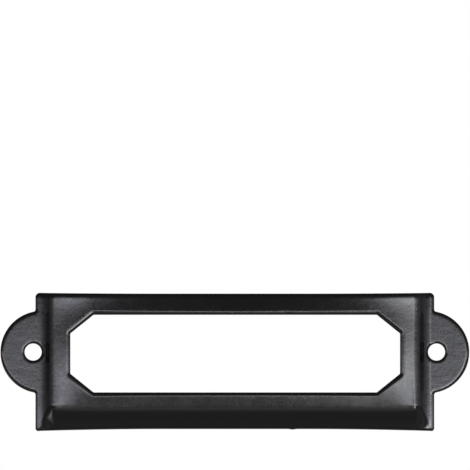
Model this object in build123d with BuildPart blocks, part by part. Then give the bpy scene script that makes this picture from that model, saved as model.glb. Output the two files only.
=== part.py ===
"""Pressed sheet label holder for a drawer front.

Millimetres. The holder stands as it does on a drawer: +X along its length, +Z up,
and its face towards -Y. The back of its ears and flanges lies in the plane Y = 0,
and the origin is midway between the two screw holes. The raised face leaves room
behind it for a card, which drops in from above, where the sheet is left open.
"""

import os
from math import hypot, radians, tan

from build123d import *

# Sheet
sheet = 0.7
inner_bend_radius = 0.6

# Cut shape of the sheet, with heights counted from the line through the screw holes
body_length = 70.6
top_edge = 10.5
bottom_edge = 14.0
top_corner_radius = 0.8
bottom_corner_radius = 0.5

# The press draws the long edges in, over this run from each end
top_draw_in = 0.14
bottom_draw_in = 0.37
bow_run = 23.0

# Screw ears, with each hole's centre just outside the end of the body
ear_radius = 7.3
ear_reach = 6.2
ear_root_radius = 0.4
hole_outset = 0.4
hole_radius = 1.5

# Raised face: flat beside the window, crowned across the height in the middle
raise_height = 2.0
flange_width = 1.65
side_wall_angle = 59.5
foot_radius = 1.3
slope_width = 3.65
slope_lift = 0.2
crown = 0.85
end_crown = 0.02

# Rails left round the window, from the cut shape's edges
side_rail = 6.1
top_rail = 3.9
bottom_rail = 6.9

# Window
window_chamfer_length = 4.1
window_chamfer_height = 3.3
window_corner_radius = 0.3

# Rolled-over front edges, where the punch drew the sheet down
edge_round = 0.45
hole_edge_round = 0.3

# How far a cutting form runs past the sheet
overrun = 3.0

hole_x = body_length / 2 + hole_outset
window_end = body_length / 2 - side_rail
window_top = top_edge - top_rail
window_bottom = bottom_edge - bottom_rail


def section_across(station, draw_in, crown_rise, inset):
    """Section of the raised form across its height: the slope, its crest and the crown."""
    half_face = (top_edge + bottom_edge - slope_width) / 2
    run = slope_width - draw_in
    rise = raise_height - slope_lift
    # The slope and the face both move by the inset, so the crest moves along the face
    crest_z = -bottom_edge + slope_width + inset * (hypot(run, rise) - run) / rise
    crest_y = inset - sheet - raise_height
    foot_z = crest_z - run - overrun
    foot_y = crest_y + rise + overrun * rise / run
    middle_z = top_edge - half_face
    end_z = top_edge + overrun
    end_fall = crown_rise * ((end_z - middle_z) / half_face) ** 2
    apex_y = crest_y - crown_rise
    with BuildSketch(Plane.YZ.offset(station)) as section:
        with BuildLine():
            Line((foot_y, foot_z), (crest_y, crest_z))
            ThreePointArc(
                (crest_y, crest_z), (apex_y, middle_z), (apex_y + end_fall, end_z)
            )
            Polyline(
                (apex_y + end_fall, end_z),
                (overrun, end_z),
                (overrun, foot_z),
                (foot_y, foot_z),
            )
        make_face()
    return section.sketch


def section_along(inset):
    """Section of the raised form along its length: the flanges and the two side walls."""
    lean = radians(side_wall_angle)
    reach = body_length / 2 + ear_reach + overrun
    flange_y = inset - sheet
    foot_x = body_length / 2 - flange_width - inset * tan(lean / 2)
    top_y = -raise_height - crown - overrun
    top_x = foot_x - (flange_y - top_y) / tan(lean)
    with BuildSketch(Plane.XY.offset(-bottom_edge - overrun)) as section:
        with BuildLine():
            Polyline(
                (reach, overrun),
                (reach, flange_y),
                (foot_x, flange_y),
                (top_x, top_y),
                (-top_x, top_y),
                (-foot_x, flange_y),
                (-reach, flange_y),
                (-reach, overrun),
                close=True,
            )
        make_face()
        feet = section.vertices().filter_by(lambda v: abs(abs(v.X) - foot_x) < 1e-4)
        fillet(feet, foot_radius + inset)
    return section.sketch


def raised_form(inset):
    """All that lies behind the pressed sheet's face, or behind its back if inset by it."""
    half = body_length / 2
    reach = half + ear_reach + overrun
    with BuildPart() as form:
        for station in (-reach, -half, 0, half, reach):
            draw_in = 0 if station else bottom_draw_in
            crown_rise = end_crown if station else crown
            add(section_across(station, draw_in, crown_rise, inset))
        loft()
        add(section_along(inset))
        extrude(amount=top_edge + bottom_edge + 2 * overrun, mode=Mode.INTERSECT)
        # The crest, the hips and the wall tops are the curved edges of the raised part
        bends = form.edges().filter_by(GeomType.BSPLINE).filter_by(
            lambda edge: edge.center().Y < inset - sheet - slope_lift / 4
            and abs(edge.center().X) < half
            and edge.center().Z < top_edge + overrun / 2
        )
        fillet(bends, inner_bend_radius + sheet - inset)
    return form.part


def drawn_edge(height, draw_in):
    """A long edge of the cut shape, straight in the middle and curving out to its ends."""
    half = body_length / 2
    flat = half - bow_run
    inner = height - draw_in if height > 0 else height + draw_in
    quarter = inner + (height - inner) / 4
    ThreePointArc((half, height), (flat + bow_run / 2, quarter), (flat, inner))
    Line((flat, inner), (-flat, inner))
    ThreePointArc((-flat, inner), (-flat - bow_run / 2, quarter), (-half, height))


def cut_shape():
    """The sheet's outline seen from the front, with its two screw ears."""
    half = body_length / 2
    ear_x = half + ear_reach - ear_radius
    with BuildSketch() as shape:
        with BuildLine():
            drawn_edge(top_edge, top_draw_in)
            drawn_edge(-bottom_edge, bottom_draw_in)
            Line((half, -bottom_edge), (half, top_edge))
            Line((-half, -bottom_edge), (-half, top_edge))
        make_face()
        corners = shape.vertices().filter_by(lambda v: abs(v.X) > half - bow_run / 2)
        fillet(corners.filter_by(lambda v: v.Y > 0), top_corner_radius)
        fillet(corners.filter_by(lambda v: v.Y < 0), bottom_corner_radius)
        with Locations((ear_x, 0), (-ear_x, 0)):
            Circle(ear_radius)
        root_y = (ear_radius**2 - (half - ear_x) ** 2) ** 0.5
        roots = shape.vertices().filter_by(lambda v: abs(abs(v.Y) - root_y) < 1e-4)
        fillet(roots, ear_root_radius)
    return shape.sketch


def window():
    """The opening in the raised face, with its four corners cut off."""
    shoulder = window_end - window_chamfer_length
    upper = window_top - window_chamfer_height
    lower = window_chamfer_height - window_bottom
    with BuildSketch() as opening:
        with BuildLine():
            Polyline(
                (shoulder, window_top),
                (window_end, upper),
                (window_end, lower),
                (shoulder, -window_bottom),
                (-shoulder, -window_bottom),
                (-window_end, lower),
                (-window_end, upper),
                (-shoulder, window_top),
                close=True,
            )
        make_face()
        fillet(opening.vertices(), window_corner_radius)
    return opening.sketch


def front_rim(frame):
    """The front edges of the cut sides: those that only one front-facing face has."""
    front_faces = frame.faces().filter_by(lambda face: face.normal_at().Y < -0.2)
    edges = [edge for face in front_faces for edge in face.edges()]
    return ShapeList(
        edge for edge in edges if sum(edge.is_same(other) for other in edges) == 1
    )


def on_window(edge):
    """Whether an edge lies on the window's sides."""
    place = edge.center()
    return abs(place.X) < window_end + 1e-3 and (
        -window_bottom - 1e-3 < place.Z < window_top + 1e-3
    )


def on_hole(edge):
    """Whether an edge lies on the wall of a screw hole."""
    place = edge.center()
    return hypot(abs(place.X) - hole_x, place.Z) < hole_radius + 1e-3


depth = sheet + raise_height + crown + overrun

with BuildPart() as label_frame:
    # Front of the sheet, cut to its outline and rolled over at the rim
    add(raised_form(0))
    with BuildSketch(Plane.XZ):
        add(cut_shape())
    extrude(amount=depth, mode=Mode.INTERSECT)
    fillet(front_rim(label_frame), min(edge_round, 0.8 * sheet))

    # Room for the card, one sheet behind the face and open at the top
    add(raised_form(sheet), mode=Mode.SUBTRACT)

    # Window and screw holes, rolled over in the same way
    with BuildSketch(Plane.XZ):
        add(window())
        with Locations((hole_x, 0), (-hole_x, 0)):
            Circle(hole_radius)
    extrude(amount=depth, mode=Mode.SUBTRACT)
    fillet(front_rim(label_frame).filter_by(on_window), min(edge_round, 0.8 * sheet))
    fillet(front_rim(label_frame).filter_by(on_hole), min(hole_edge_round, 0.8 * sheet))

label_frame.part.label = "label_frame"
os.makedirs("parts", exist_ok=True)
export_step(label_frame.part, "parts/label_frame.step")
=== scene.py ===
"""Label holder for a drawer front, pressed from one sheet and painted satin black.

The sheet is cut flat first: its outline with two screw ears, the window and the two
screw holes. A press rule then gives every point of that blank its height, once for
the front of the sheet and once for its back. +X runs along the holder, +Z is up and
its face looks towards -Y.
"""

from math import cos, hypot, pi, radians, sin, sqrt, tan

import bmesh
import bpy
import numpy as np
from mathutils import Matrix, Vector
from mathutils.geometry import delaunay_2d_cdt


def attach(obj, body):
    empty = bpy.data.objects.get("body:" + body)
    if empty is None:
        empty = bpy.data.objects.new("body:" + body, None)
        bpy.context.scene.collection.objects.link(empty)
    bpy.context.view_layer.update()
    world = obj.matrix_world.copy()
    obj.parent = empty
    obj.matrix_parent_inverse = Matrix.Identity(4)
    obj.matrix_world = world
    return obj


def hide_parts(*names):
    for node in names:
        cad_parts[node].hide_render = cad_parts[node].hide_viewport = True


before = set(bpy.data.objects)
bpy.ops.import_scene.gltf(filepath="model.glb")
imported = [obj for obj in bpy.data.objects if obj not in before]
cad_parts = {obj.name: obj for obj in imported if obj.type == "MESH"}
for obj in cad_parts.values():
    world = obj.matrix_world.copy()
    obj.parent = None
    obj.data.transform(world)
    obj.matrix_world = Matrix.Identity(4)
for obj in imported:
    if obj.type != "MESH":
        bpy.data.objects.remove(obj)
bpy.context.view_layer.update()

bl_info = {
    "name": "Pressed Label Holder",
    "version": (1, 0, 0),
    "blender": (4, 5, 0),
    "location": "View3D > Sidebar > Label Holder",
    "description": "Cuts, presses and paints a drawer label holder",
    "category": "Object",
}

MM = 0.001
NODE = "label_frame"

# Photograph: its side in pixels, the real width that it spans, and the pixel that lies
# midway between the screw holes
PHOTO_PIXELS = 470
PHOTO_SPAN = 83.2 * MM
HOLES_PIXEL_X = 234.84
HOLES_PIXEL_Y = 352.05

# Stretches in a rounded corner of each kind, and round a screw hole
LOWER_CORNER_STEPS = 6
UPPER_CORNER_STEPS = 8
ROOT_STEPS = 5
WINDOW_CORNER_STEPS = 4
HOLE_STEPS = 48

# Rings of points on a rolled-over edge, in degrees from its cut side, and the least gap
# between them and the plain grid in mesh steps
ROLL_TURNS = (90, 78, 66, 54, 42, 30, 15, 0)
GRID_GAP = 0.55

# Points nearer than these are one, in the flat blank and in the pressed sheet
BLANK_PRECISION = 1e-9
SAME_PLACE = 1e-7

# Edges that turn by more than this are sharp
SHARP_TURN = radians(40)

# What each point of the blank knows: its distance from the cut and that edge's roll-over
EDGE_DISTANCE = "edge_distance"
ROLL_WIDTH = "roll_width"


class Wire:
    """One output socket of a node tree, on which sums are written in plain Python."""

    def __init__(self, tree, socket=None):
        self.tree = tree
        self.socket = socket

    def node(self, kind, settings=None, sockets=None, output=0):
        """Adds a node, with its settings made before its sockets are set or linked."""
        made = self.tree.nodes.new(kind)
        for name, value in (settings or {}).items():
            setattr(made, name, value)
        for name, value in (sockets or {}).items():
            connect(self.tree, find_socket(made.inputs, name), value)
        return Wire(self.tree, find_socket(made.outputs, output) if made.outputs else None)

    def out(self, name):
        """Another output of the node that this wire comes from."""
        return Wire(self.tree, find_socket(self.socket.node.outputs, name))

    def math(self, operation, *values):
        """A Math node on this wire and the values that follow."""
        sockets = dict(enumerate((self,) + values))
        return self.node("ShaderNodeMath", {"operation": operation}, sockets)

    def __add__(self, other):
        return self.math("ADD", other)

    __radd__ = __add__

    def __mul__(self, other):
        return self.math("MULTIPLY", other)

    __rmul__ = __mul__

    def __sub__(self, other):
        return self.math("SUBTRACT", other)

    def __rsub__(self, other):
        return (self * -1.0) + other

    def __truediv__(self, other):
        return self.math("DIVIDE", other)

    def __rtruediv__(self, other):
        return self.node("ShaderNodeMath", {"operation": "DIVIDE"}, {0: other, 1: self})

    def __neg__(self):
        return self * -1.0

    def __abs__(self):
        return self.math("ABSOLUTE")


def find_socket(sockets, name):
    """A socket by its place, its identifier or its name."""
    if isinstance(name, int):
        return sockets[name]
    for socket in sockets:
        if socket.identifier == name:
            return socket
    return next(s for s in sockets if s.name == name and s.enabled)


def connect(tree, socket, value):
    """Links a wire to a socket, or sets the socket to a value."""
    if isinstance(value, Wire):
        tree.links.new(value.socket, socket)
    else:
        socket.default_value = value


def length(name, text, millimetres):
    """A size that a user may change, given here in millimetres."""
    return bpy.props.FloatProperty(
        name=name, description=text, default=millimetres * MM, unit="LENGTH", precision=5
    )


def number(name, text, default):
    """A plain number that a user may change."""
    return bpy.props.FloatProperty(name=name, description=text, default=default, precision=3)


def angle(name, text, degrees):
    """An angle that a user may change, given here in degrees."""
    return bpy.props.FloatProperty(
        name=name, description=text, default=radians(degrees), subtype="ANGLE", precision=3
    )


class HolderSizes(bpy.types.PropertyGroup):
    """Sizes of the cut blank and of the press that forms it."""

    body_length: length("Body length", "Length between the ends of the body", 70.6)
    top_edge: length("Top edge", "Height of the open edge above the screw line", 10.5)
    bottom_edge: length("Bottom edge", "Depth of the closed edge below that line", 14.0)
    top_draw_in: length("Top draw-in", "How far the open edge is drawn in", 0.14)
    bottom_draw_in: length("Bottom draw-in", "The same at the closed edge", 0.37)
    bow_run: length("Bow run", "Stretch at each end over which an edge bows", 23.0)
    top_corner: length("Top corner", "Radius of the body's upper corners", 0.8)
    bottom_corner: length("Bottom corner", "Radius of the lower corners", 0.5)
    ear_radius: length("Ear radius", "Radius of the screw ears", 7.3)
    ear_reach: length("Ear reach", "How far an ear stands out of the body", 6.2)
    ear_root: length("Ear root", "Radius where an ear meets the body", 0.4)
    hole_outset: length("Hole outset", "Hole's centre beyond the body's end", 0.4)
    hole_radius: length("Hole radius", "Radius of the screw holes", 1.5)
    left_rail: length("Left rail", "Width of the rail left of the window", 6.22)
    right_rail: length("Right rail", "Width of the rail right of the window", 6.1)
    top_rail: length("Top rail", "Width of the open rail", 3.9)
    bottom_rail: length("Bottom rail", "Width of the closed rail", 6.9)
    chamfer_length: length("Chamfer length", "Window chamfer along the holder", 4.1)
    chamfer_height: length("Chamfer height", "Window chamfer up the holder", 3.3)
    window_corner: length("Window corner", "Radius of the window's corners", 0.3)
    sheet: length("Sheet", "Thickness of the sheet", 0.7)
    raise_height: length("Raise height", "Rise of the face above the ears", 2.0)
    flange_width: length("Flange width", "Flat strip at each end of the body", 1.6)
    upper_thinning: number("Upper thinning", "Share of the flange lost at its upper end", 0.042)
    lower_thinning: number("Lower thinning", "The same at its lower end", 0.1)
    wall_angle: angle("Wall angle", "Lean of the side walls", 59.6)
    slope_width: length("Slope width", "Width of the closing slope", 3.65)
    slope_lift: length("Slope lift", "Slope's foot above the flanges", 0.2)
    crown: length("Crown", "Bow of the face across the middle", 0.969)
    end_crown: length("End crown", "The same at the ends, hollow if negative", -0.119)
    upper_spring: length("Upper spring", "Lift of the face's upper corners", 0.517)
    lower_spring: length("Lower spring", "Lift of the face's lower corners", 0.237)
    end_rise: length("End rise", "Rise of the face towards its ends", 0.112)
    twist: length("Twist", "Lift of the face's upper right corner by twisting", 0.006)
    foot_bend: length("Foot bend", "Blend where the walls leave the flanges", 1.9)
    wall_bend: length("Wall bend", "Blend where the walls meet the face", 1.25)
    crest_bend: length("Crest bend", "Blend where the slope meets the face", 0.45)
    corner_run: length("Corner run", "From the body's end to the pressed-in corners", 3.0)
    corner_lean: angle("Corner lean", "Lean of the pressed-in lower corners", 43.0)
    corner_turn: angle("Corner turn", "How far they turn downwards", 46.0)
    corner_bend: length("Corner bend", "Blend round the pressed-in corners", 0.5)
    roll_depth: length("Roll depth", "Drop of the rolled-over cut edges", 0.45)
    outline_roll: length("Outline roll", "Width of the outline's roll-over", 0.55)
    top_roll: length("Top roll", "The same along the open edge", 0.75)
    window_roll: length("Window roll", "The same round the window", 0.75)
    hole_roll: length("Hole roll", "The same round the screw holes", 0.4)
    back_round: length("Back round", "Broken edge at the back of the sheet", 0.07)
    mesh_step: length("Mesh step", "Spacing of the mesh's points", 0.27)


class PaintFinish(bpy.types.PropertyGroup):
    """Colour and gloss of the paint."""

    colour: bpy.props.FloatVectorProperty(
        name="Paint colour",
        description="Colour of the satin black paint",
        subtype="COLOR",
        size=3,
        default=(0.0085, 0.0085, 0.009),
        min=0.0,
        max=1.0,
    )
    roughness: number("Roughness", "Gloss of the paint, 0 is a mirror", 0.147)
    uneven_gloss: number("Uneven gloss", "How much the gloss varies", 0.1)
    peel_size: length("Peel size", "Size of the paint's ripples", 0.6)
    peel_depth: length("Peel depth", "Height of the paint's ripples", 0.0035)
    wave_size: length("Wave size", "Size of the sheet's faint waves", 2.2)
    wave_depth: length("Wave depth", "Height of the sheet's faint waves", 0.01)
    streak_depth: length("Streak depth", "Height of the paint's faint streaks", 0.003)


class StudioSetup(bpy.types.PropertyGroup):
    """Camera, floor and the soft lights of the studio.

    A light's turn and tilt say how far a surface leans from facing the camera when it
    mirrors that light, and its spread and height how far the lean may differ.
    """

    camera_distance: length("Camera distance", "From the camera to the holder", 2000.0)
    floor_drop: length("Floor drop", "Height of the screw line above the floor", 350.0)
    floor_radius: length("Floor radius", "Radius of the round floor", 300.0)
    room_level: number("Room level", "Brightness of the plain room", 0.15)
    strip_level: number("Strip level", "Brightness of the wide low strip", 9.9)
    strip_turn: angle("Strip turn", "Lean to the right for the strip", 1.2)
    strip_spread: angle("Strip spread", "Lean over which the strip fades sideways", 34.7)
    strip_tilt: angle("Strip tilt", "Lean upwards for the strip", -1.56)
    strip_height: angle("Strip height", "The same fade upwards", 0.8)
    window_level: number("Window level", "Brightness of the window light", 26.6)
    window_turn: angle("Window turn", "Lean to the right for the window", 4.03)
    window_spread: angle("Window spread", "Lean over which the window fades sideways", 1.45)
    window_tilt: angle("Window tilt", "Lean upwards for the window", -6.3)
    window_height: angle("Window height", "The same fade upwards", 4.8)
    band_level: number("Band level", "Brightness of the faint band near the floor", 0.38)
    band_spread: angle("Band spread", "Lean over which the band fades sideways", 40.0)
    band_tilt: angle("Band tilt", "Lean upwards for the band", -16.0)
    band_height: angle("Band height", "The same fade upwards", 4.5)
    lamp_level: number("Lamp level", "Brightness of the small lamp at the lower left", 3.2)
    lamp_turn: angle("Lamp turn", "Lean to the right for the lamp", -36.0)
    lamp_tilt: angle("Lamp tilt", "Lean upwards for the lamp", -31.0)
    lamp_spread: angle("Lamp spread", "Lean over which the lamp fades", 8.0)


def arc(centre, radius, start, end, steps):
    """Points along an arc, by its start and end angles in degrees."""
    turns = np.radians(np.linspace(start, end, steps + 1))
    return [(centre[0] + radius * cos(t), centre[1] + radius * sin(t)) for t in turns]


def edge_height(x, height, draw_in, half, run):
    """Height of a long edge at x: straight in the middle, curving out to its ends."""
    past = max(0.0, abs(x) - (half - run)) / run
    return height - draw_in * (1.0 - past * past)


def long_edge(sizes, height, draw_in, inset):
    """Points along one long edge from left to right, ending short of its corners."""
    half = sizes.body_length / 2
    reach = half - inset
    count = int(2 * reach / sizes.mesh_step)
    xs = np.linspace(-reach, reach, count + 1)
    sign = 1.0 if height > 0 else -1.0
    return [
        (x, sign * edge_height(x, abs(height), draw_in, half, sizes.bow_run)) for x in xs
    ]


def straight(start, end, step):
    """Points along a straight stretch, without its two ends."""
    count = max(1, round(hypot(end[0] - start[0], end[1] - start[1]) / step))
    shares = [i / count for i in range(1, count)]
    return [
        (start[0] + (end[0] - start[0]) * s, start[1] + (end[1] - start[1]) * s)
        for s in shares
    ]


def right_end(sizes):
    """The outline's right end, from the lower corner round the ear to the upper one."""
    step = sizes.mesh_step
    half = sizes.body_length / 2
    low, high = sizes.bottom_corner, sizes.top_corner
    ear_x = half + sizes.ear_reach - sizes.ear_radius
    root = sizes.ear_root
    # The root's arc touches the body's end and the ear from outside both
    root_x = half + root
    root_z = sqrt((sizes.ear_radius + root) ** 2 - (root_x - ear_x) ** 2)
    lean = np.degrees(np.arctan2(root_z, root_x - ear_x))
    ear_steps = int(2 * radians(lean) * sizes.ear_radius / step)
    points = arc((half - low, low - sizes.bottom_edge), low, -90, 0, LOWER_CORNER_STEPS)
    points += straight(points[-1], (half, -root_z), step)
    points += arc((root_x, -root_z), root, 180, 180 - lean, ROOT_STEPS)
    points += arc((ear_x, 0.0), sizes.ear_radius, -lean, lean, ear_steps)[1:-1]
    points += arc((root_x, root_z), root, 180 + lean, 180, ROOT_STEPS)
    points += straight(points[-1], (half, sizes.top_edge - high), step)
    points += arc((half - high, sizes.top_edge - high), high, 0, 90, UPPER_CORNER_STEPS)
    return points


def outline(sizes):
    """The cut edge of the blank, counter-clockwise as seen from the front."""
    right = right_end(sizes)
    left = [(-x, z) for x, z in reversed(right)]
    bottom = long_edge(sizes, -sizes.bottom_edge, sizes.bottom_draw_in, sizes.bottom_corner)
    top = long_edge(sizes, sizes.top_edge, sizes.top_draw_in, sizes.top_corner)
    return bottom[1:-1] + right + top[::-1][1:-1] + left


def rounded(corners, radius, step):
    """A closed outline of straight stretches with its corners rounded, clockwise."""
    points = []
    for i, corner in enumerate(corners):
        here = Vector(corner)
        before = (Vector(corners[i - 1]) - here).normalized()
        after = (Vector(corners[(i + 1) % len(corners)]) - here).normalized()
        half_angle = before.angle(after) / 2
        middle = here + (before + after).normalized() * (radius / sin(half_angle))
        start = here + before * (radius / tan(half_angle)) - middle
        end = here + after * (radius / tan(half_angle)) - middle
        turn = start.angle_signed(end)
        bend = []
        for k in range(WINDOW_CORNER_STEPS + 1):
            swing = -turn * k / WINDOW_CORNER_STEPS
            bend.append(
                (
                    middle.x + start.x * cos(swing) - start.y * sin(swing),
                    middle.y + start.x * sin(swing) + start.y * cos(swing),
                )
            )
        if points:
            points += straight(points[-1], bend[0], step)
        points += bend
    return points + straight(points[-1], points[0], step)


def window(sizes):
    """The window's edge, clockwise, so that the sheet lies on its left."""
    right = sizes.body_length / 2 - sizes.right_rail
    left = sizes.left_rail - sizes.body_length / 2
    top = sizes.top_edge - sizes.top_rail
    bottom = sizes.bottom_rail - sizes.bottom_edge
    run, rise = sizes.chamfer_length, sizes.chamfer_height
    corners = [
        (right - run, top),
        (right, top - rise),
        (right, bottom + rise),
        (right - run, bottom),
        (left + run, bottom),
        (left, bottom + rise),
        (left, top - rise),
        (left + run, top),
    ]
    return rounded(corners, sizes.window_corner, sizes.mesh_step)


def hole(sizes, side):
    """A screw hole's edge, clockwise."""
    centre = (side * (sizes.body_length / 2 + sizes.hole_outset), 0.0)
    return arc(centre, sizes.hole_radius, 360, 0, HOLE_STEPS)[:-1]


# Marks on the cut edges in millimetres: X, Z, reach, outward bulge and wider roll-over
EDGE_MARKS = (
    (8.9, 6.6, 0.8, 0.0, 0.15),
    (10.2, -13.63, 0.45, 0.11, 0.0),
    (21.9, -7.1, 0.22, 0.0, 0.2),
)


def marked(loop, rolls):
    """A cut edge and its roll-over widths with the small marks of wear put in."""
    points = np.array(loop)
    inward = into_sheet(loop)
    rolls = np.array(rolls)
    for x, z, reach, bulge, wider in EDGE_MARKS:
        gap = np.hypot(points[:, 0] - x * MM, points[:, 1] - z * MM)
        share = np.exp(-((gap / (reach * MM)) ** 2))
        points = points - inward * (share * bulge * MM)[:, None]
        rolls = rolls + share * wider * MM
    return points, rolls


def outline_rolls(sizes, loop):
    """Width of the outline's roll-over at each point, widest along the open edge."""
    corner = sizes.top_corner - sizes.top_draw_in
    shares = [(z - sizes.top_edge + sizes.top_corner) / corner for _, z in loop]
    wider = sizes.top_roll - sizes.outline_roll
    return sizes.outline_roll + wider * np.clip(shares, 0, 1)


def into_sheet(loop):
    """Unit directions that point from a cut edge into the sheet, on the edge's left."""
    points = np.array(loop)
    along = np.roll(points, -1, axis=0) - np.roll(points, 1, axis=0)
    along /= np.linalg.norm(along, axis=1)[:, None]
    return np.column_stack([-along[:, 1], along[:, 0]])


def cut_edges(sizes):
    """Each cut edge of the blank with its roll-over widths, the outline first."""
    body = outline(sizes)
    edges = [marked(body, outline_rolls(sizes, body))]
    for loop, roll in (
        (window(sizes), sizes.window_roll),
        (hole(sizes, 1.0), sizes.hole_roll),
        (hole(sizes, -1.0), sizes.hole_roll),
    ):
        edges.append(marked(loop, np.full(len(loop), roll)))
    return edges


def roll_rings(loop, rolls):
    """Rings of points across one rolled-over edge, each with its distances from the cut."""
    inward = into_sheet(loop)
    for turn in ROLL_TURNS:
        offsets = rolls * (1.0 - sin(radians(turn)))
        yield loop + inward * offsets[:, None], offsets


def plain_grid(sizes, edges):
    """Points of an even grid clear of the rolled-over edges, row by row."""
    step = sizes.mesh_step
    edge_line = np.vstack([loop for loop, _ in edges])
    edge_rolls = np.concatenate([rolls for _, rolls in edges])
    reach = sizes.body_length / 2 + sizes.ear_reach
    row_height = step * sqrt(3.0) / 2
    rows = int((sizes.top_edge + sizes.bottom_edge) / row_height) + 1
    for row in range(rows):
        z = row * row_height - sizes.bottom_edge
        shift = step / 2 if row % 2 else 0.0
        xs = np.arange(-reach + shift, reach, step)
        grid = np.column_stack([xs, np.full(len(xs), z)])
        xs = xs[within(grid, [loop for loop, _ in edges])]
        if not len(xs):
            continue
        near = np.hypot(xs[:, None] - edge_line[:, 0], z - edge_line[:, 1])
        closest = near.argmin(axis=1)
        for x, k, gap in zip(xs, closest, near.min(axis=1)):
            if gap > edge_rolls[k] + GRID_GAP * step:
                yield (x, z), gap, edge_rolls[k]


def cut_blank(sizes):
    """The flat blank as a fine mesh, whose points know how far the cut edge is."""
    edges = cut_edges(sizes)
    points, distances, widths, rims = [], [], [], []
    for loop, rolls in edges:
        first = len(points)
        count = len(loop)
        rims += [(first + i, first + (i + 1) % count) for i in range(count)]
        for ring, offsets in roll_rings(loop, rolls):
            points += list(map(tuple, ring))
            distances += list(offsets)
            widths += list(rolls)
    for point, gap, roll in plain_grid(sizes, edges):
        points.append(point)
        distances.append(gap)
        widths.append(roll)
    flat = delaunay_2d_cdt([Vector(p) for p in points], rims, [], 0, BLANK_PRECISION)
    places, _, triangles, sources = flat[:4]
    corners = np.array([tuple(place) for place in places])
    # The triangles also fill the window and the holes, and those are left out
    middles = np.array([corners[list(face)].mean(axis=0) for face in triangles])
    inside = within(middles, [loop for loop, _ in edges])
    faces = [face for face, kept in zip(triangles, inside) if kept]
    mesh = bpy.data.meshes.new("cut_blank")
    mesh.from_pydata([(x, 0.0, z) for x, z in corners], [], faces)
    for name, values in ((EDGE_DISTANCE, distances), (ROLL_WIDTH, widths)):
        layer = mesh.attributes.new(name, "FLOAT", "POINT")
        layer.data.foreach_set("value", [values[group[0]] for group in sources])
    return mesh


def within(points, loops):
    """Whether each point lies on the sheet, counting the cut edges to its right."""
    inside = np.zeros(len(points), bool)
    for loop in loops:
        starts = np.array(loop)
        ends = np.roll(starts, -1, axis=0)
        for (x0, z0), (x1, z1) in zip(starts, ends):
            if z0 == z1:
                continue
            crosses = (points[:, 1] < z0) != (points[:, 1] < z1)
            at = x0 + (points[:, 1] - z0) * (x1 - x0) / (z1 - z0)
            inside ^= crosses & (points[:, 0] < at)
    return inside


# What the press needs to know, in the order of the tree's inputs
PRESS_INPUTS = (
    "body_length",
    "top_edge",
    "bottom_edge",
    "bottom_draw_in",
    "sheet",
    "raise_height",
    "flange_width",
    "upper_thinning",
    "lower_thinning",
    "wall_angle",
    "slope_width",
    "slope_lift",
    "crown",
    "end_crown",
    "upper_spring",
    "lower_spring",
    "end_rise",
    "twist",
    "foot_bend",
    "wall_bend",
    "crest_bend",
    "corner_run",
    "corner_lean",
    "corner_turn",
    "corner_bend",
    "roll_depth",
    "back_round",
)


# Powers of the distance from the middle with which the crown fades along the holder,
# the upper corners' springing sets in upwards, and the lower corners' along and downwards
CROWN_FADE = 2.5
UPPER_FADE = 3.7
LOWER_FADE = 10.0
LOWER_DROP = 3.0

# Share of the upper corners' springing that the walls hold back, and its power
HELD_BACK = 1.5
HELD_FADE = 8.0

# Power with which the flanges thin towards their ends
THIN_FADE = 4.0


def rising(value, power):
    """A power of a value where the value is above zero, and zero elsewhere."""
    return value.math("MAXIMUM", 0.0).math("POWER", power)


def pressed_height(x, z, size, inset):
    """Height of the pressed sheet above the back of its ears, or of its back if inset."""
    half = size["body_length"] / 2.0
    along = (abs(x) / half).math("MINIMUM", 1.0)
    # The slope and the face both move by the inset, so the crest moves along the face
    run = size["slope_width"] - size["bottom_draw_in"] * (1.0 - along * along)
    rise = size["raise_height"] - size["slope_lift"]
    slant = (run * run + rise * rise).math("SQRT")
    crest = size["slope_width"] - size["bottom_edge"] + inset * (slant - run) / rise
    crest_height = size["sheet"] + size["raise_height"] - inset
    half_face = (size["top_edge"] - crest) / 2.0
    across = (z - size["top_edge"] + half_face) / half_face
    ends = along.math("POWER", CROWN_FADE)
    crown = size["crown"] + (size["end_crown"] - size["crown"]) * ends
    face = crest_height + crown * (1.0 - across * across)
    # The press leaves the corners sprung forward, the lower ones only near the ends
    upper = rising(across, UPPER_FADE)
    lower = rising(-across, LOWER_DROP)
    upper = upper * along * (1.0 - HELD_BACK * along.math("POWER", HELD_FADE))
    face = face + size["upper_spring"] * upper
    face = face + size["lower_spring"] * along.math("POWER", LOWER_FADE) * lower
    face = face + size["twist"] * across * x / half + size["end_rise"] * along * along
    slope = crest_height - (crest - z) * rise / run
    raised = face.math("SMOOTH_MIN", slope, size["crest_bend"])
    # A plane across each lower corner, where the press pushes the sheet in
    aside = (abs(x) - half + size["corner_run"]) * size["corner_turn"].math("COSINE")
    below = (crest - z) * size["corner_turn"].math("SINE")
    corner = crest_height - (aside + below) * size["corner_lean"].math("TANGENT")
    raised = raised.math("SMOOTH_MIN", corner, size["corner_bend"])
    lean = size["wall_angle"]
    foot = half - size["flange_width"] - inset * (lean / 2.0).math("TANGENT")
    wall = size["sheet"] - inset + (foot - abs(x)) * lean.math("TANGENT")
    raised = raised.math("SMOOTH_MIN", wall, size["wall_bend"])
    # The flanges and ears lie flat, and the flanges thin towards their ends
    half_height = (size["top_edge"] + size["bottom_edge"]) / 2.0
    level = (z - size["top_edge"] + half_height) / half_height
    thinning = size["upper_thinning"] * rising(level, THIN_FADE)
    thinning = thinning + size["lower_thinning"] * rising(-level, THIN_FADE)
    flange = (size["sheet"] - inset) * (1.0 - thinning)
    return raised.math("SMOOTH_MAX", flange, size["foot_bend"])


def rolled(distance, width, depth):
    """How far a rolled-over edge has dropped at a distance from the cut."""
    near = (1.0 - distance / width).math("MAXIMUM", 0.0)
    return depth * (1.0 - (1.0 - near * near).math("MAXIMUM", 0.0).math("SQRT"))


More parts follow.
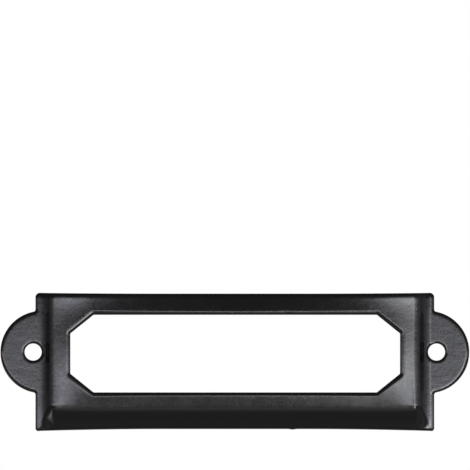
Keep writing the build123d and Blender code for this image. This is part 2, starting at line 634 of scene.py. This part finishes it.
def shown_name(name):
    """A size's name as its socket shows it."""
    return name.replace("_", " ").capitalize()


def add_press_sockets(tree):
    """The press's inputs, which are the blank, its sizes and the paint, and its output."""
    inputs = [("Blank", "NodeSocketGeometry")]
    inputs += [(shown_name(name), "NodeSocketFloat") for name in PRESS_INPUTS]
    inputs += [("Paint", "NodeSocketMaterial")]
    for name, kind in inputs:
        tree.interface.new_socket(name=name, in_out="INPUT", socket_type=kind)
    tree.interface.new_socket(
        name="Sheet", in_out="OUTPUT", socket_type="NodeSocketGeometry"
    )


def cut_side(blank, front_place, back_place):
    """The sheet's cut sides: the blank's rim, with one edge in front and one behind."""
    faces_beside = blank.node("GeometryNodeInputMeshEdgeNeighbors")
    is_rim = blank.node(
        "FunctionNodeCompare",
        {"data_type": "INT", "operation": "EQUAL"},
        {"A_INT": faces_beside, "B_INT": 1},
    )
    wall = blank.node(
        "GeometryNodeExtrudeMesh",
        {"mode": "EDGES"},
        {"Mesh": blank, "Selection": is_rim, "Offset Scale": 0.0},
    )
    rim = blank.node(
        "GeometryNodeSeparateGeometry",
        {"domain": "FACE"},
        {"Geometry": wall, "Selection": wall.out("Side")},
    )
    rim_place = blank.node(
        "GeometryNodeSwitch",
        {"input_type": "VECTOR"},
        {"Switch": wall.out("Top"), "False": front_place, "True": back_place},
    )
    return moved(rim, rim_place)


def press_tree():
    """Geometry Nodes that press a flat blank into a sheet with a front, back and rim."""
    tree = bpy.data.node_groups.new("press_sheet", "GeometryNodeTree")
    add_press_sockets(tree)
    start = Wire(tree)
    given = start.node("NodeGroupInput")
    blank = given.out("Blank")
    size = {name: given.out(shown_name(name)) for name in PRESS_INPUTS}
    place = start.node("GeometryNodeInputPosition")
    split = start.node("ShaderNodeSeparateXYZ", {}, {0: place})
    x, z = split, split.out("Z")
    distance = named_number(start, EDGE_DISTANCE)
    width = named_number(start, ROLL_WIDTH)
    depth = width.math("MINIMUM", size["roll_depth"])
    front_height = pressed_height(x, z, size, 0.0) - rolled(distance, width, depth)
    back_height = pressed_height(x, z, size, size["sheet"])
    back_height = back_height + rolled(distance, size["back_round"], size["back_round"])
    front_place = start.node("ShaderNodeCombineXYZ", {}, {0: x, 1: -front_height, 2: z})
    back_place = start.node("ShaderNodeCombineXYZ", {}, {0: x, 1: -back_height, 2: z})
    front = moved(blank, front_place)
    back = start.node("GeometryNodeFlipFaces", {}, {0: moved(blank, back_place)})
    rim = cut_side(blank, front_place, back_place)
    joined = start.node("GeometryNodeJoinGeometry")
    for part in (front, back, rim):
        tree.links.new(part.socket, joined.socket.node.inputs[0])
    welded = start.node(
        "GeometryNodeMergeByDistance", {}, {"Geometry": joined, "Distance": SAME_PLACE}
    )
    whole = start.node("GeometryNodeRealizeInstances", {}, {0: welded})
    painted = start.node(
        "GeometryNodeSetMaterial", {}, {"Geometry": whole, "Material": given.out("Paint")}
    )
    start.node("NodeGroupOutput", {}, {0: painted})
    return tree


def named_number(start, name):
    """A number that the blank's points carry."""
    return start.node(
        "GeometryNodeInputNamedAttribute", {"data_type": "FLOAT"}, {"Name": name}
    )


def moved(geometry, place):
    """The geometry with its points put in another place."""
    return geometry.node(
        "GeometryNodeSetPosition", {}, {"Geometry": geometry, "Position": place}
    )


# Streaks of the paint: their turn off the length, and how they are drawn out
STREAK_TURN = radians(38)
STREAK_STRETCH = (0.35, 1.0, 2.2)

# Lighter specks in the paint, partly dust and partly painted glints that put small highlights
# into the colour: their places seen from the front and their radius, both in millimetres, and
# their colour
DUST_AND_GLINT_SPECKS = ((30.0, -3.1), (28.25, -3.6), (32.1, 7.6), (40.2, 1.7), (-37.3, 5.3))
SPECK_RADIUS = 0.13
DUST_AND_GLINT_TONE = (0.2, 0.2, 0.2, 1.0)

# How rough the paint's noise is, and how many finer layers its ripples and waves have
NOISE_ROUGHNESS = 0.55
RIPPLE_LAYERS = 2.0
WAVE_LAYERS = 3.0

# How strongly the paint bends light
PAINT_IOR = 1.5


def noise(place, scale, layers):
    """Smooth noise around 0.5 whose features are about one over the scale in size."""
    return place.node(
        "ShaderNodeTexNoise",
        {"noise_dimensions": "3D"},
        {"Vector": place, "Scale": scale, "Detail": layers, "Roughness": NOISE_ROUGHNESS},
    )


def dust_and_glints(place):
    """Where the lighter specks lie, dust and painted glints: 1 in the middle of a speck,
    falling to 0 at its rim.
    """
    split = place.node("ShaderNodeSeparateXYZ", {}, {0: place})
    radius = SPECK_RADIUS * MM
    specks = []
    for x, z in DUST_AND_GLINT_SPECKS:
        across = (split - x * MM) / radius
        up = (split.out("Z") - z * MM) / radius
        specks.append((1.0 - across * across - up * up).math("MAXIMUM", 0.0))
    return sum(specks[1:], specks[0])


def black_paint(finish):
    """Satin black paint with orange peel, faint waves and streaks, and lighter specks of dust
    and painted glints.
    """
    material = bpy.data.materials.new("satin_black_paint")
    material.use_nodes = True
    tree = material.node_tree
    tree.nodes.clear()
    start = Wire(tree)
    place = start.node("ShaderNodeTexCoord", output="Object")
    peel = noise(place, 1.0 / finish.peel_size, RIPPLE_LAYERS)
    waves = noise(place, 1.0 / finish.wave_size, WAVE_LAYERS)
    combed = start.node(
        "ShaderNodeMapping",
        {},
        {"Vector": place, "Rotation": (0.0, STREAK_TURN, 0.0), "Scale": STREAK_STRETCH},
    )
    streaks = noise(combed, 1.0 / finish.wave_size, RIPPLE_LAYERS)
    height = peel * finish.peel_depth + waves * finish.wave_depth
    height = height + streaks * finish.streak_depth
    # The height is in metres, so the bump takes it whole
    ripple = start.node("ShaderNodeBump", {}, {"Height": height, "Distance": 1.0})
    # The lighter specks mix a paler tone into the colour: dust, and painted glints where small
    # highlights show
    dust_and_glint_share = dust_and_glints(place)
    tone = start.node(
        "ShaderNodeMix",
        {"data_type": "RGBA"},
        {"Factor_Float": dust_and_glint_share, "A_Color": tuple(finish.colour) + (1.0,), "B_Color": DUST_AND_GLINT_TONE},
        "Result_Color",
    )
    # Both noises lie around 0.5, so the gloss varies around its own value
    gloss = finish.roughness + finish.uneven_gloss * (waves + peel - 1.0)
    shader = start.node(
        "ShaderNodeBsdfPrincipled",
        {},
        {"Base Color": tone, "Roughness": gloss, "Normal": ripple, "IOR": PAINT_IOR},
    )
    start.node("ShaderNodeOutputMaterial", {}, {"Surface": shader})
    return material


def press(sizes, paint):
    """Presses the blank through the tree and keeps the result as a plain mesh."""
    blank = bpy.data.objects.new("blank", cut_blank(sizes))
    bpy.context.scene.collection.objects.link(blank)
    tree = press_tree()
    modifier = blank.modifiers.new("press", "NODES")
    modifier.node_group = tree
    sockets = {item.name: item.identifier for item in tree.interface.items_tree}
    for name in PRESS_INPUTS:
        modifier[sockets[shown_name(name)]] = getattr(sizes, name)
    modifier[sockets["Paint"]] = paint
    ready = blank.evaluated_get(bpy.context.evaluated_depsgraph_get())
    mesh = bpy.data.meshes.new_from_object(ready)
    bpy.data.objects.remove(blank)
    mesh.name = "pressed_sheet"
    return mesh


def finish_mesh(mesh):
    """Turns every face outwards and keeps only the sheet's cut edges sharp."""
    form = bmesh.new()
    form.from_mesh(mesh)
    bmesh.ops.recalc_face_normals(form, faces=form.faces)
    for face in form.faces:
        face.smooth = True
    for edge in form.edges:
        edge.smooth = edge.calc_face_angle(pi) < SHARP_TURN
    form.to_mesh(mesh)
    form.free()
    for name in (EDGE_DISTANCE, ROLL_WIDTH):
        mesh.attributes.remove(mesh.attributes[name])


class HOLDER_OT_press_sheet(bpy.types.Operator):
    """Cut, press and paint the holder's one sheet"""

    bl_idname = "holder.press_sheet"
    bl_label = "Press the sheet"

    def execute(self, context):
        scene = context.scene
        paint = black_paint(scene.holder_paint)
        mesh = press(scene.holder_sizes, paint)
        finish_mesh(mesh)
        sheet = bpy.data.objects.new("pressed_label_frame", mesh)
        scene.collection.objects.link(sheet)
        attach(sheet, "root")
        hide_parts(NODE)
        return {"FINISHED"}


# Tints of the strip and the window
STRIP_TINT = (0.96, 0.97, 1.08, 1.0)
WINDOW_TINT = (1.0, 1.01, 0.98, 1.0)
WHITE = (1.0, 1.0, 1.0, 1.0)

# How far behind the holder gloss begins and ends to show white: on the floor in metres
# from it, and in the world as the direction's share to the back
FLOOR_BEHIND = (0.05, 0.2)
WORLD_BEHIND = (0.55, 0.85)

# Share of white that gloss shows on the front of the floor
FLOOR_GLOW = 0.13

# The floor's colour, its sides, its white share at the middle, and the shares of its
# radius over which it fades to the background
FLOOR_COLOUR = (0.8, 0.8, 0.8, 1.0)
FLOOR_SIDES = 96
FLOOR_WHITE = 0.9
FLOOR_FADES = (0.5, 0.98)

# The room's change of level upwards, to the right and to the back
ROOM_UP = -0.5
ROOM_RIGHT = 0.45
ROOM_BACK = -0.5

# Directions to the back over which the room dims and the strip ends
ROOM_DIMS = (0.0, 0.5)
STRIP_ENDS = (0.2, 0.6)


def lobe(offset):
    """A light's falloff: whole at its middle, a quarter one spread away, never nothing."""
    spread = offset * offset + 1.0
    return 1.0 / (spread * spread)


def between(value, low, high):
    """A soft step from 0 to 1 as a value passes from one bound to the other."""
    return value.node(
        "ShaderNodeMapRange",
        {"interpolation_type": "SMOOTHSTEP"},
        {"Value": value, "From Min": low, "From Max": high},
    )


def seen_plainly(start, behind):
    """Where a surface shows as plain white: to the camera, and in gloss behind the holder."""
    ray = start.node("ShaderNodeLightPath")
    seen = ray.math("MAXIMUM", ray.out("Is Transmission Ray"))
    return seen.math("MAXIMUM", ray.out("Is Glossy Ray") * behind)


def pale_floor(studio):
    """A round pale floor that fades to the background's white at its rim."""
    material = bpy.data.materials.new("pale_floor")
    material.use_nodes = True
    tree = material.node_tree
    tree.nodes.clear()
    start = Wire(tree)
    place = start.node("ShaderNodeTexCoord", output="Object")
    split = start.node("ShaderNodeSeparateXYZ", {}, {0: place})
    reach = start.node("ShaderNodeVectorMath", {"operation": "LENGTH"}, {0: place}, "Value")
    behind = FLOOR_GLOW + (1.0 - FLOOR_GLOW) * between(split.out("Y"), *FLOOR_BEHIND)
    rim = between(reach / studio.floor_radius, *FLOOR_FADES)
    shown = seen_plainly(start, behind) * (FLOOR_WHITE + (1.0 - FLOOR_WHITE) * rim)
    surface = start.node("ShaderNodeBsdfDiffuse", {}, {"Color": FLOOR_COLOUR})
    white = start.node("ShaderNodeEmission", {}, {"Color": WHITE})
    mixed = start.node("ShaderNodeMixShader", {}, {0: shown, 1: surface, 2: white})
    start.node("ShaderNodeOutputMaterial", {}, {"Surface": mixed})
    form = bmesh.new()
    bmesh.ops.create_circle(
        form, cap_ends=True, segments=FLOOR_SIDES, radius=studio.floor_radius
    )
    mesh = bpy.data.meshes.new("floor")
    form.to_mesh(mesh)
    form.free()
    mesh.materials.append(material)
    floor = bpy.data.objects.new("floor", mesh)
    floor.location = (0.0, 0.0, -studio.floor_drop)
    bpy.context.scene.collection.objects.link(floor)


def studio_light(studio):
    """The world: a dim room with a wide strip, a window, a faint band and a lamp."""
    world = bpy.data.worlds.new("studio")
    bpy.context.scene.world = world
    world.use_nodes = True
    tree = world.node_tree
    tree.nodes.clear()
    start = Wire(tree)
    toward = start.node("ShaderNodeTexCoord", output="Generated")
    split = start.node("ShaderNodeSeparateXYZ", {}, {0: toward})
    x, y, z = split, split.out("Y"), split.out("Z")
    # How far a surface leans from facing the front when it mirrors this direction there
    turn = (x / (1.0 - y)).math("ARCTANGENT")
    tilt = (z / (1.0 - y)).math("ARCTANGENT")
    strip = lobe((turn - studio.strip_turn) / studio.strip_spread)
    strip = strip * lobe((tilt - studio.strip_tilt) / studio.strip_height)
    strip = strip * (1.0 - between(y, *STRIP_ENDS))
    window = lobe((turn - studio.window_turn) / studio.window_spread)
    window = window * lobe((tilt - studio.window_tilt) / studio.window_height)
    band = lobe(turn / studio.band_spread)
    band = band * lobe((tilt - studio.band_tilt) / studio.band_height)
    lamp = lobe((turn - studio.lamp_turn) / studio.lamp_spread)
    lamp = lamp * lobe((tilt - studio.lamp_tilt) / studio.lamp_spread)
    room = studio.room_level * (1.0 + ROOM_UP * z) * (1.0 + ROOM_RIGHT * x)
    room = room * (1.0 + ROOM_BACK * between(y, *ROOM_DIMS))
    lights = start.node("ShaderNodeBackground", {}, {"Color": WHITE, "Strength": room})
    for tint, strength in (
        (STRIP_TINT, strip * studio.strip_level),
        (WINDOW_TINT, window * studio.window_level),
        (WHITE, band * studio.band_level + lamp * studio.lamp_level),
    ):
        lit = start.node("ShaderNodeBackground", {}, {"Color": tint, "Strength": strength})
        lights = start.node("ShaderNodeAddShader", {}, {0: lights, 1: lit})
    shown = seen_plainly(start, between(y, *WORLD_BEHIND))
    plain = start.node("ShaderNodeBackground", {}, {"Color": WHITE, "Strength": 1.0})
    mixed = start.node("ShaderNodeMixShader", {}, {0: shown, 1: lights, 2: plain})
    start.node("ShaderNodeOutputWorld", {}, {"Surface": mixed})


# How far the camera sees, in camera distances
CAMERA_REACH = 4


class HOLDER_OT_set_stage(bpy.types.Operator):
    """Set up the pale floor, the soft light and the camera"""

    bl_idname = "holder.set_stage"
    bl_label = "Set the stage"

    def execute(self, context):
        scene = context.scene
        studio = scene.holder_studio
        pixel = PHOTO_SPAN / PHOTO_PIXELS
        aim = Vector(
            (
                (PHOTO_PIXELS / 2 - HOLES_PIXEL_X) * pixel,
                0.0,
                (HOLES_PIXEL_Y - PHOTO_PIXELS / 2) * pixel,
            )
        )
        camera = bpy.data.cameras.new("camera")
        camera.lens = camera.sensor_width * studio.camera_distance / PHOTO_SPAN
        camera.clip_end = CAMERA_REACH * studio.camera_distance
        view = bpy.data.objects.new("camera", camera)
        view.location = aim - Vector((0.0, studio.camera_distance, 0.0))
        view.rotation_euler = (pi / 2, 0.0, 0.0)
        scene.collection.objects.link(view)
        scene.camera = view
        scene.view_settings.view_transform = "Standard"
        pale_floor(studio)
        studio_light(studio)
        return {"FINISHED"}


class HOLDER_PT_panel(bpy.types.Panel):
    """The holder's sizes, its paint, the studio and the steps that make it"""

    bl_label = "Label Holder"
    bl_idname = "HOLDER_PT_panel"
    bl_space_type = "VIEW_3D"
    bl_region_type = "UI"
    bl_category = "Label Holder"

    def draw(self, context):
        for group in (
            context.scene.holder_sizes,
            context.scene.holder_paint,
            context.scene.holder_studio,
        ):
            box = self.layout.box()
            for name in group.bl_rna.properties.keys():
                if name not in ("rna_type", "name"):
                    box.prop(group, name)
        for operator in OPERATORS:
            self.layout.operator(operator.bl_idname)


GROUPS = {
    "holder_sizes": HolderSizes,
    "holder_paint": PaintFinish,
    "holder_studio": StudioSetup,
}
OPERATORS = (HOLDER_OT_set_stage, HOLDER_OT_press_sheet)
CLASSES = tuple(GROUPS.values()) + OPERATORS + (HOLDER_PT_panel,)


def register():
    for item in CLASSES:
        bpy.utils.register_class(item)
    for name, group in GROUPS.items():
        setattr(bpy.types.Scene, name, bpy.props.PointerProperty(type=group))


def unregister():
    for name in GROUPS:
        delattr(bpy.types.Scene, name)
    for item in reversed(CLASSES):
        bpy.utils.unregister_class(item)


def main():
    """Sets the stage and makes the holder."""
    register()
    bpy.ops.holder.set_stage()
    bpy.ops.holder.press_sheet()
    bpy.context.view_layer.update()


if __name__ == "__main__":
    main()
